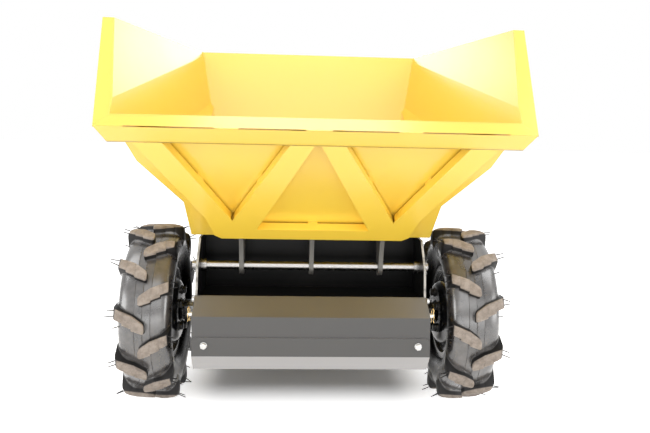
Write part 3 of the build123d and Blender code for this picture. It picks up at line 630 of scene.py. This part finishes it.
def front_tyre(hand, side, outer_phase, inner_phase):
    """A tyre, the knob of its first lug on either half at that angle above the front."""
    pieces = [copied(carcass, along_x)]
    for phase, mirrored in ((outer_phase, side < 0), (inner_phase, side > 0)):
        for count in range(lug_count):
            angle = pi / 2 + radians(phase) + 2 * pi * count / lug_count
            turn = Matrix.Rotation(-angle, 4, "X") @ along_x
            if mirrored:
                turn = turn @ flip_z
            pieces.append(copied(lug, turn))
            for height in (0.027, 0.039):
                pieces.append(whisker_at(turn, tread_radius - 0.0135, height, lug_end - 0.0015,
                                         0.013, 0.021))
            if random.random() < 0.7:
                pieces.append(whisker_at(turn, carcass_radius - 0.0130, 0.0, 0.0510,
                                         0.010, 0.016))
    piece = joined(f"{hand}_tyre", pieces)
    place(piece, (side * wheel_centre.x, wheel_centre.y, wheel_centre.z))
    fit(settle(piece, 30), f"{hand}_wheel", tyre, [f"{hand}_wheel_tyre"])


front_tyre("left", 1, 45.0, 60.6)
front_tyre("right", -1, 68.9, 53.2)
for spare in (carcass, lug, whisker):
    bpy.data.objects.remove(spare)


# ---------------------------------------------------------------- fasteners
def hex_bolt(name, across, height, washer):
    """A bolt head that stands on the origin along +Z, with its chamfer and a washer."""
    corner = across / 3 ** 0.5
    head = turned("head", [(0.0, 0.0), (0.0, corner), (height * 0.78, corner),
                           (height, corner * 0.80), (height, 0.0)], segments=6)
    soften(head, height * 0.06, 2, 20)
    pieces = [settle(head, 25)]
    if washer:
        thick = height * 0.28
        inner = corner * 0.5
        ring = turned("washer", [(0.0, inner), (0.0, washer), (thick, washer), (thick, inner)],
                      segments=28, closed=True)
        soften(ring, thick * 0.25, 2, 30)
        place(head, (0, 0, thick))
        pieces.append(settle(ring, 30))
    return joined(name, pieces)


def bolted(name, spots, across, height, washer=0.0, body="chassis", finish=zinc):
    """Like bolts at (place, direction) spots, as one piece. The washer is its radius."""
    places = [Matrix.Translation(at) @ facing(direction)
              @ Matrix.Rotation(random.uniform(0, 1), 4, "Z") for at, direction in spots]
    piece = repeated(name, hex_bolt("one_bolt", across, height, washer), places)
    fit(settle(piece, 25), body, finish)


# ---------------------------------------------------------------- front rims
rim_low, rim_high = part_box("left_wheel_rim")
flange = (rim_high.z - rim_low.z) / 2        # radius of the rim's flanges
rim_half = rim_high.x - wheel_centre.x
shaft_start = rim_low.x - wheel_centre.x
seat, well, sheet = 0.0985, 0.084, 0.003
disc_at, disc_flat = -0.053, 0.058           # where the disc is flat, and how far out
disc_edge = -0.016                           # where it meets the well
bolt_circle, bolt_count = 0.0470, 5
cap_start = disc_at + 0.009

half_rim = [
    (0.0210, well), (0.0280, seat), (rim_half, seat), (rim_half, flange),
    (rim_half - 0.004, flange), (rim_half - 0.004, seat + sheet), (0.0250, seat + sheet),
    (0.0180, well + sheet),
]
rim_rows = half_rim + [(-z, radius) for z, radius in reversed(half_rim)]
dish = [(disc_edge + (disc_at - disc_edge) * sin(angle),
         disc_flat + (well - disc_flat) * cos(angle)) for angle in (pi / 24 * i for i in range(13))]
disc_rows = dish + [(disc_at, 0.020), (disc_at + sheet, 0.020)]
disc_rows += [(z + sheet, radius) for z, radius in reversed(dish)]
hub_rows = [
    (shaft_start, 0.0), (shaft_start, 0.0120), (-0.0965, 0.0125), (-0.0965, 0.0225),
    (-0.0945, 0.0240), (disc_at - 0.006, 0.0240), (disc_at - 0.001, 0.0290),
]
cap_rows = [
    (disc_at + 0.003, 0.0560), (cap_start, 0.0560), (cap_start + 0.0005, 0.0270),
    (-0.0200, 0.0240), (-0.0180, 0.0220), (-0.0180, 0.0130), (-0.0050, 0.0125),
    (-0.0040, 0.0110), (-0.0040, 0.0),
]
valve_rows = [(0, 0.0040), (0.016, 0.0038), (0.018, 0.0030), (0.030, 0.0028), (0.031, 0.0)]


def front_rim(hand, side):
    """A pressed rim with its disc, hub, cap and valve, and bolts on both faces of the disc."""
    shell = turned("shell", rim_rows, 96, closed=True)
    soften(shell, 0.0016, 3, 25)
    disc = turned("disc", disc_rows, 96, closed=True)
    hub = turned("hub", hub_rows, 48)
    cap = turned("cap", cap_rows, 64)
    valve = turned("valve", valve_rows, 14)
    place(valve, (0.0760, 0, -0.008), facing((-0.3, 0, 1)))
    rim = joined(f"{hand}_rim", [settle(piece, 32) for piece in (shell, disc, hub, cap, valve)])
    turn = shift(side * wheel_centre.x, wheel_centre.y, wheel_centre.z) @ along_x
    if side < 0:
        turn = turn @ flip_z
        rim.data.flip_normals()
    rim.data.transform(turn)
    fit(settle(rim, 32), f"{hand}_wheel", rim_black, [f"{hand}_wheel_rim"])
    spots = []
    for count in range(bolt_count):
        angle = radians(22) + 2 * pi * count / bolt_count
        for z, direction in ((disc_at, -side), (cap_start, side)):
            at = turn @ Vector((bolt_circle * cos(angle), bolt_circle * sin(angle), z))
            spots.append((at, (direction, 0, 0)))
    bolted(f"{hand}_wheel_bolts", spots, across=0.017, height=0.008, washer=0.0115,
           body=f"{hand}_wheel", finish=oxide)


front_rim("left", 1)
front_rim("right", -1)


# ---------------------------------------------------------------- hinge and guard hardware
bar_low, bar_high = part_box("hinge_bar")
cover_low, cover_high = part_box("guard_cover")
guard_low, guard_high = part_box("front_guard")
plate_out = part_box("chassis_left_plate")[1].x
hinge = Vector((0, (bar_low.y + bar_high.y) / 2, (bar_low.z + bar_high.z) / 2))
pin_eye = 0.00352            # radius of a split pin's eye


def split_pin(name, at, turn):
    """A split pin through the bar: an eye, and two legs that are bent apart."""
    eye = tube("eye", [(pin_eye * cos(angle), 0, pin_eye * sin(angle) - 0.0165)
                       for angle in (2 * pi * i / 14 for i in range(15))], 0.0012)
    legs = [tube("leg", [(side * 0.0006, 0, -0.013), (side * 0.0012, 0, 0.0120),
                         (side * 0.0075, 0, 0.0215)], 0.0011, 0.004) for side in (1, -1)]
    pin = joined(name, [eye] + legs)
    place(pin, at, turn)
    fit(settle(pin), "chassis", zinc)


hairpin = [
    (0, 0.004, -0.016), (0, 0.004, 0.010), (0, 0.0, 0.0165), (0, -0.005, 0.0125),
    (0, -0.003, 0.004), (0, -0.0065, -0.003), (0, -0.003, -0.010), (0, -0.006, -0.015),
]
peg_rows = [(0, 0), (0, 0.0050), (0.0095, 0.0050), (0.0110, 0.0036), (0.0110, 0)]
for side, hand in ((1, "left"), (-1, "right")):
    split_pin(f"{hand}_split_pin", hinge + Vector((side * (bar_high.x - 0.0055), 0, 0)),
              Matrix.Rotation(radians(-30 * side), 4, "Z") @ Matrix.Rotation(radians(18), 4, "X"))
    peg_at = Vector((side * plate_out, guard_low.y + 0.018, guard_high.z - 0.030))
    clip = tube(f"{hand}_hairpin_clip", hairpin, 0.0010, 0.0022, 8)
    place(clip, peg_at + Vector((side * 0.007, 0, 0)),
          Matrix.Rotation(radians(20 * side), 4, "Z"))
    fit(settle(clip), "chassis", brass)
    peg = turned(f"{hand}_guard_peg", peg_rows, 20)
    place(peg, peg_at, facing((side, 0, 0)))
    fit(settle(peg, 30), "chassis", zinc)
bolted("guard_side_bolts",
       [((side * plate_out, guard_high.y - 0.008, guard_high.z - 0.0065), (side, 0, 0))
        for side in (1, -1)], across=0.010, height=0.005, washer=0.0065)
bolted("guard_cover_bolts",
       [((side * (cover_high.x - 0.026), cover_low.y + 0.0014, cover_high.z - 0.017),
         (0, -1, -0.05)) for side in (1, -1)], across=0.013, height=0.006, washer=0.0078)


# ---------------------------------------------------------------- engine
start_low, start_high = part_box("recoil_starter")
starter_at = Vector((start_high.x, (start_low.y + start_high.y) / 2,
                     (start_low.z + start_high.z) / 2))
face_step = 0.012            # the starter's raised middle
starter_circle = 0.0700
rib_count = 30

rib = block("rib", (-0.001, -0.0016, 0.0230), (0.0020, 0.0016, 0.0500), 0.0006)
grille = [repeated("ribs", rib, [Matrix.Rotation(2 * pi * count / rib_count, 4, "X")
                                 for count in range(rib_count)])]
for inner, outer, rise in ((0.0, 0.0215, 0.0030), (0.0490, 0.0525, 0.0026)):
    rows = [(-0.001, inner), (-0.001, outer), (rise * 0.6, outer), (rise, outer - 0.0012),
            (rise, inner + 0.0012 if inner else 0.0), (rise * 0.6, inner)]
    grille.append(repeated("band", turned("ring", rows, 48, closed=True), [along_x]))
grille = joined("starter_grille", grille)
place(grille, starter_at)
fit(settle(grille, 30), "chassis", cover)
bolted("starter_bolts",
       [(starter_at + Vector((-face_step, starter_circle * sin(a), starter_circle * cos(a))),
         (1, 0, 0)) for a in (radians(30), radians(150), radians(270))],
       across=0.008, height=0.005, washer=0.0070)

pull = block("pull", (-0.0070, -0.0330, 0.0110), (0.0070, 0.0330, 0.0240), 0.0055, 4)
neck = turned("neck", [(-0.004, 0.0080), (0.003, 0.0075), (0.004, 0.0032), (0.012, 0.0032)], 20)
pull = joined("starter_pull", [pull, settle(neck, 30)])
place(pull, (starter_at.x - 0.030, starter_at.y - 0.020, start_high.z))
fit(settle(pull, 40), "chassis", soft_black)

tank_low, tank_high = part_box("fuel_tank")
tank_middle = (tank_low + tank_high) / 2
tank_half = (tank_high - tank_low) / 2
seam = [(sx * tank_half.x, tank_middle.y + sy * tank_half.y, tank_low.z + 0.036)
        for sx, sy in ((1, 0), (1, 1), (-1, 1), (-1, -1), (1, -1), (1, 0))]
fit(tube("tank_seam", seam, 0.0024, 0.034, 12), "chassis", tank)

cap = turned("cap", [(0, 0), (0, 0.0290), (0.0140, 0.0290), (0.0170, 0.0275), (0.0185, 0.0240),
                     (0.0185, 0.0120), (0.0175, 0.0110), (0.0175, 0)], 56)
ridge = block("ridge", (0.0280, -0.0013, 0.0015), (0.0306, 0.0013, 0.0145), 0.0007)
ridge_count = 26
ridges = repeated("ridges", ridge, [Matrix.Rotation(2 * pi * count / ridge_count, 4, "Z")
                                    for count in range(ridge_count)])
cap = joined("tank_cap", [settle(cap, 30), ridges])
place(cap, (0.060, tank_middle.y + 0.030, tank_high.z - 0.018))
fit(settle(cap, 30), "chassis", cover)

filter_low, filter_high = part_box("air_filter")
filter_middle = (filter_low + filter_high) / 2
lid = [block("lid", (filter_low.x + 0.009, filter_high.y - 0.001, filter_low.z + 0.009),
             (filter_high.x - 0.009, filter_high.y + 0.0035, filter_high.z - 0.012), 0.0025, 3)]
for count in range(5):
    level = filter_low.z + 0.020 + 0.0125 * count
    lid.append(block("lid_rib", (filter_low.x + 0.020, filter_high.y + 0.002, level),
                     (filter_high.x - 0.020, filter_high.y + 0.0055, level + 0.0040), 0.0012))
fit(settle(joined("filter_lid", lid), 30), "chassis", cover)
knob = turned("filter_knob", [(0, 0.0), (0, 0.0130), (0.0040, 0.0130), (0.0055, 0.0070),
                              (0.0085, 0.0070), (0.0100, 0.0120), (0.0160, 0.0120),
                              (0.0180, 0.0095), (0.0185, 0.0)], 28)
place(knob, (filter_middle.x, filter_middle.y, filter_high.z - 0.0005))
fit(settle(knob, 30), "chassis", cover)

pot_low, pot_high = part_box("muffler")
pot_start = -0.112           # where the pot itself begins, past its outlet pipe
shield = [block("shield", (pot_start + 0.006, pot_high.y - 0.001, pot_low.z + 0.006),
                (pot_high.x - 0.006, pot_high.y + 0.0030, pot_high.z - 0.006), 0.0020)]
for count in range(6):
    level = pot_low.z + 0.0185 + 0.0110 * count
    shield.append(tube("louvre", [(pot_start + 0.022, pot_high.y + 0.0022, level),
                                  (pot_high.x - 0.022, pot_high.y + 0.0022, level)], 0.0030))
fit(settle(joined("muffler_shield", shield), 30), "chassis", muffler)
bolted("muffler_bolts",
       [((x, pot_high.y + 0.0028, z), (0, 1, 0)) for x in (pot_start + 0.014, pot_high.x - 0.014)
        for z in (pot_low.z + 0.014, pot_high.z - 0.014)],
       across=0.007, height=0.004, washer=0.0060)
outlet = turned("outlet_bore", [(0.0, 0.0125), (0.0045, 0.0125), (0.0045, 0.0095),
                                (0.0015, 0.0090), (0.0015, 0.0)], 32)
place(outlet, (pot_low.x, pot_high.y - 0.030, pot_low.z + 0.060), facing((-1, 0, 0)))
fit(settle(outlet, 30), "chassis", muffler)

belt_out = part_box("belt_guard")[0].x
bolted("belt_guard_bolts",
       [((belt_out, starter_at.y + y, starter_at.z + z), (-1, 0, 0))
        for y, z in ((0.054, 0.054), (0.052, -0.046), (-0.284, -0.084), (-0.284, -0.046),
                     (-0.044, 0.052))], across=0.008, height=0.005, washer=0.0075)
vents = [tube("vent", [(belt_out + 0.0008, starter_at.y + y, starter_at.z + z)
                       for z in (-0.030, 0.034)], 0.0030)
         for y in (-0.024, -0.010, 0.004, 0.018, 0.032)]
fit(settle(joined("belt_guard_vents", vents), 40), "chassis", black)

block_low, block_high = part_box("engine_block")
foot_x, foot_top = 0.055, block_low.z + 0.009
feet = [block("foot", (x - 0.014, y - 0.012, block_low.z - 0.0005),
              (x + 0.014, y + 0.012, foot_top), 0.0015)
        for x in (-foot_x, foot_x) for y in (block_low.y - 0.010, block_high.y + 0.010)]
fit(settle(joined("engine_feet", feet), 30), "chassis", casting)
bolted("engine_bolts",
       [((x, y, foot_top), (0, 0, 1)) for x in (-foot_x, foot_x)
        for y in (block_low.y - 0.012, block_high.y + 0.012)],
       across=0.013, height=0.0075, washer=0.0100)
plug = settle(turned("plug", [(-0.002, 0.0), (-0.002, 0.0170), (0.0040, 0.0170), (0.0045, 0.0125),
                              (0.0130, 0.0120), (0.0145, 0.0100), (0.0145, 0.0)], 24), 30)
plugs = repeated("oil_plugs", plug, [shift(x, block_high.y, block_low.z + 0.050) @ along_y
                                     for x in (-0.048, 0.048)])
fit(plugs, "chassis", cover)


# ---------------------------------------------------------------- handlebars and controls
grip_low, grip_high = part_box("handle_grips")
grip_x = grip_high.x - 0.018
grip_z = (grip_low.z + grip_high.z) / 2
lever_y = grip_low.y - 0.013
ring_rows = [(-0.0020, 0.0168), (-0.0012, 0.0190), (0.0012, 0.0190), (0.0020, 0.0168)]
end_rows = [(-0.0040, 0.0160), (-0.0032, 0.0205), (0.0022, 0.0205), (0.0040, 0.0180),
            (0.0040, 0.0160)]
clamp_rows = [(-0.0090, 0.0138), (-0.0090, 0.0160), (-0.0080, 0.0168), (0.0080, 0.0168),
              (0.0090, 0.0160), (0.0090, 0.0138)]


def on_grips(name, rows, levels):
    """A ring around both handlebar tubes at each of the levels along them."""
    return repeated(name, turned("ring", rows, 32, closed=True),
                    [shift(side * grip_x, y, grip_z) @ along_y for side in (-1, 1) for y in levels])


rings = [on_grips("rings", ring_rows, [grip_low.y + 0.0150 + 0.0085 * i for i in range(12)]),
         on_grips("ends", end_rows, [grip_low.y + 0.004, grip_high.y - 0.005])]
fit(settle(joined("grip_rings", rings), 40), "chassis", soft_black)
clamps = on_grips("lever_clamps", clamp_rows, [lever_y])
fit(settle(clamps, 35), "chassis", cover)
bolted("lever_clamp_bolts",
       [((side * (grip_x - 0.0160), lever_y, grip_z), (-side, 0, 0)) for side in (-1, 1)],
       across=0.007, height=0.006)

console_low, console_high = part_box("handle_console")
panel_up = Vector((0, 1, 2)).normalized()
on_panel = shift(0, console_high.y - 0.047, console_high.z - 0.0125) @ facing(panel_up)
plate = block("plate", (-0.074, -0.028, -0.001), (0.074, 0.028, 0.0025), 0.0012)
switch = block("switch", (0.032, -0.0075, 0.0020), (0.058, 0.0075, 0.0070), 0.0020, 3)
slot = block("slot", (-0.052, -0.0060, 0.0020), (-0.004, 0.0060, 0.0046), 0.0016, 3)
plate = joined("control_panel", [plate, switch, slot])
plate.data.transform(on_panel)
fit(settle(plate, 30), "chassis", cover)
bolted("control_panel_screws",
       [(on_panel @ Vector((x, y, 0.0025)), panel_up)
        for x in (-0.066, 0.066) for y in (-0.020, 0.020)], across=0.006, height=0.0025)
arm = block("arm", (-0.0020, -0.0045, -0.002), (0.0020, 0.0045, 0.030), 0.0010)
tip = turned("tip", [(0.024, 0.0), (0.025, 0.0060), (0.028, 0.0085), (0.036, 0.0085),
                     (0.040, 0.0065), (0.0415, 0.0)], 24)
throttle = joined("throttle_lever", [arm, settle(tip, 35)])
place(throttle, on_panel @ Vector((-0.034, 0, 0.003)), facing((-0.25, 0.2, 1)))
fit(settle(throttle, 35), "chassis", cover)

gear_low, gear_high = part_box("gearbox")
gear_lever_x = -0.200
boot = turned("gear_lever_boot", [
    (0.0, 0.0), (0.0, 0.0300), (0.0035, 0.0300), (0.0050, 0.0230), (0.0120, 0.0200),
    (0.0135, 0.0225), (0.0165, 0.0205), (0.0210, 0.0155), (0.0225, 0.0175), (0.0255, 0.0155),
    (0.0310, 0.0105), (0.0325, 0.0120), (0.0360, 0.0085), (0.0400, 0.0064),
], 40)
place(boot, (gear_lever_x, (gear_low.y + gear_high.y) / 2, block_low.z))
fit(settle(boot, 35), "chassis", soft_black)

bead_rows = [(0.0, 0.0100), (0.0045, 0.0105), (0.0035, 0.0145), (-0.001, 0.0160), (-0.001, 0.0100)]
beads = repeated("cross_tube_welds", turned("bead", bead_rows, 28, closed=True),
                 [shift(side * (grip_x - 0.0138), console_high.y - 0.011, console_low.z + 0.011)
                  @ facing((-side, 0, 0)) for side in (-1, 1)])
fit(settle(beads, 50), "chassis", black)


# ---------------------------------------------------------------- chassis fasteners
axle_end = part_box("axle_housing")[1].x
beam_low, beam_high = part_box("rear_beam")
bar_foot, bar_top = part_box("left_handlebar")
castor_low, castor_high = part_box("left_castor_tyre")
castor_x = (castor_low.x + castor_high.x) / 2
latch_pivot = Vector((0.0038, -0.026, 0.360))
bolted("axle_bolts",
       [((side * axle_end, wheel_centre.y + y, wheel_centre.z + z), (side, 0, 0))
        for side in (-1, 1) for y in (-0.062, 0.062) for z in (-0.032, 0.032)],
       across=0.013, height=0.0075, washer=0.0110)
bolted("handle_bolts",
       [((side * (bar_top.x - 0.0006), y, bar_foot.z + 0.014), (side, 0, 0))
        for side in (-1, 1) for y in (0.350, 0.445)], across=0.013, height=0.0075, washer=0.0100)
bolted("castor_plate_bolts",
       [((side * castor_x + x, (beam_low.y + beam_high.y) / 2 + y, beam_low.z + 0.012), (0, 0, -1))
        for side in (-1, 1) for x in (-0.043, 0.043) for y in (-0.033, 0.033)],
       across=0.010, height=0.0055, washer=0.0080)
bolted("latch_bolts",
       [((side * latch_pivot.x, latch_pivot.y, latch_pivot.z), (side, 0, 0)) for side in (-1, 1)],
       across=0.010, height=0.005, washer=0.0080)


# ---------------------------------------------------------------- castors
wall_rows = [(0.0240, 0.0905), (0.0258, 0.0915), (0.0258, 0.0935), (0.0240, 0.0945)]
rivet_out, rivet_circle, rivet_count = 0.0058, 0.052, 6
for hand in ("left", "right"):
    low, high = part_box(f"{hand}_castor_tyre")
    centre = (low + high) / 2
    rings = repeated(f"{hand}_castor_wall_rings", turned("ring", wall_rows, 72, closed=True),
                     [Matrix.Translation(centre) @ facing((way, 0, 0)) for way in (-1, 1)])
    fit(settle(rings, 40), f"{hand}_castor_wheel", castor_black)
    angles = [2 * pi * count / rivet_count for count in range(rivet_count)]
    bolted(f"{hand}_castor_rivets",
           [(centre + Vector((way * rivet_out, rivet_circle * sin(a), rivet_circle * cos(a))),
             (way, 0, 0)) for way in (-1, 1) for a in angles],
           across=0.008, height=0.004, washer=0.0065,
           body=f"{hand}_castor_wheel")


# ---------------------------------------------------------------- weld beads on the skip
def seam_points(node, side, outside):
    """The corners of a wall up one of its edges, on its outer or its inner face."""
    levels = {}
    mesh = cad[node].data
    for face in mesh.polygons:
        if face.normal.y * outside > 0.9:
            for index in face.vertices:
                corner = mesh.vertices[index].co
                if corner.x * side > 0.2:
                    levels[round(corner.z, 3)] = corner.copy()
    return [levels[key] for key in sorted(levels)]


for side, hand in ((1, "left"), (-1, "right")):
    for outside, where, radius in ((1, "out", 0.0030), (-1, "in", 0.0018)):
        points = seam_points("skip_rear_wall", side, outside)
        bead = tube(f"{hand}_corner_weld_{where}", points, radius, sides=12)
        fit(bead, "skip", yellow)
grab_foot = Vector((0.140, 0.0101, 0.790))
wall_out = Vector((0, 0.968, -0.250))        # the rear wall's outward direction
foot_rows = [(-0.002, 0.0095), (0.0040, 0.0100), (0.0025, 0.0135), (-0.002, 0.0160)]
welds = repeated("grab_handle_welds", turned("weld", foot_rows, 28, closed=True),
                 [shift(side * grab_foot.x, grab_foot.y, grab_foot.z) @ facing(wall_out)
                  for side in (-1, 1)])
fit(settle(welds, 50), "skip", yellow)


# ---------------------------------------------------------------- camera
camera_at = (-0.0528, -2.0173, 0.650)
heading, dip, roll = radians(-3.17), radians(7.73), radians(1.34)
lens = 36.26                 # focal length in millimetres
camera_data = bpy.data.cameras.new("camera")
camera_data.sensor_width = 36.0
camera_data.lens = lens
camera = bpy.data.objects.new("camera", camera_data)
bpy.context.collection.objects.link(camera)
camera.matrix_world = (
    Matrix.Translation(camera_at) @ Matrix.Rotation(heading, 4, "Z")
    @ Matrix.Rotation(pi / 2 - dip, 4, "X") @ Matrix.Rotation(roll, 4, "Z")
)
bpy.context.scene.camera = camera
bpy.context.scene.view_settings.view_transform = "Standard"


# ---------------------------------------------------------------- studio
# The floor is lit, and white to the eye away from the machine, so that only its shadow stays.
# It begins to whiten outside a box under the machine, and is white a little further out.
shadow_half_width, shadow_middle, shadow_half_length = 0.20, 0.03, 0.43
whitens_over = 0.17
glow_under, glow_away = 0.03, 0.85
only(None)
bpy.ops.mesh.primitive_plane_add(size=40, location=(0, 0, 0))
floor = bpy.context.object
floor.name = "floor"
ground = Finish("white_floor", (0.86, 0.85, 0.845), 0.75, Emission_Strength=1.0)
across, ahead, _ = ground.apart(ground.place)
beside = (across.size() - shadow_half_width).at_least(0.0)
before = ((ahead - shadow_middle).size() - shadow_half_length).at_least(0.0)
glow = ground.grade((beside * beside + before * before) ** 0.5, 0.0, whitens_over,
                    glow_under, glow_away)
white = ground.node("ShaderNodeCombineColor", None,
                    {name: glow * ground.seen() for name in ("Red", "Green", "Blue")})
ground.wear(Emission_Color=white)
dress(floor, ground.material)

# The surround is plain white to the eye, and gives about a third of that as light
surround_light = 0.32
world = bpy.data.worlds.new("studio")
bpy.context.scene.world = world
world.use_nodes = True
surround = Nodes(world.node_tree, "Background")
surround.wear(Color=(1, 1, 1, 1), Strength=surround.seen() * (1 - surround_light) + surround_light)


def softbox(name, at, towards, width, height, power):
    """A flat rectangular lamp that faces a point, its power in watts."""
    data = bpy.data.lights.new(name, "AREA")
    data.shape = "RECTANGLE"
    data.size, data.size_y = width, height
    data.energy = power
    lamp = bpy.data.objects.new(name, data)
    bpy.context.collection.objects.link(lamp)
    lamp.location = at
    lamp.rotation_euler = (Vector(towards) - Vector(at)).to_track_quat("-Z", "Y").to_euler()


softbox("overhead", (0, -0.6, 2.6), (0, -0.6, 0), 1.0, 0.7, power=12)
softbox("front_high", (0, -3.1, 2.8), (0, -0.2, 0.7), 1.8, 1.2, power=16)
softbox("front_middle", (0, -3.3, 1.55), (0, -0.4, 0.7), 3.0, 0.8, power=17)
softbox("front_low", (0, -3.4, 0.30), (0, -0.5, 0.40), 3.2, 0.4, power=16)
softbox("behind", (0, 3.2, 1.7), (0, 0, 0.8), 3.0, 1.6, power=30)
for side in (-1, 1):
    softbox(f"side_{side}", (2.2 * side, -1.7, 0.7), (0, -0.5, 0.35), 1.3, 1.0, power=20)
    softbox(f"above_{side}", (1.6 * side, -0.7, 2.0), (0, -0.5, 0.3), 1.2, 1.2, power=16)
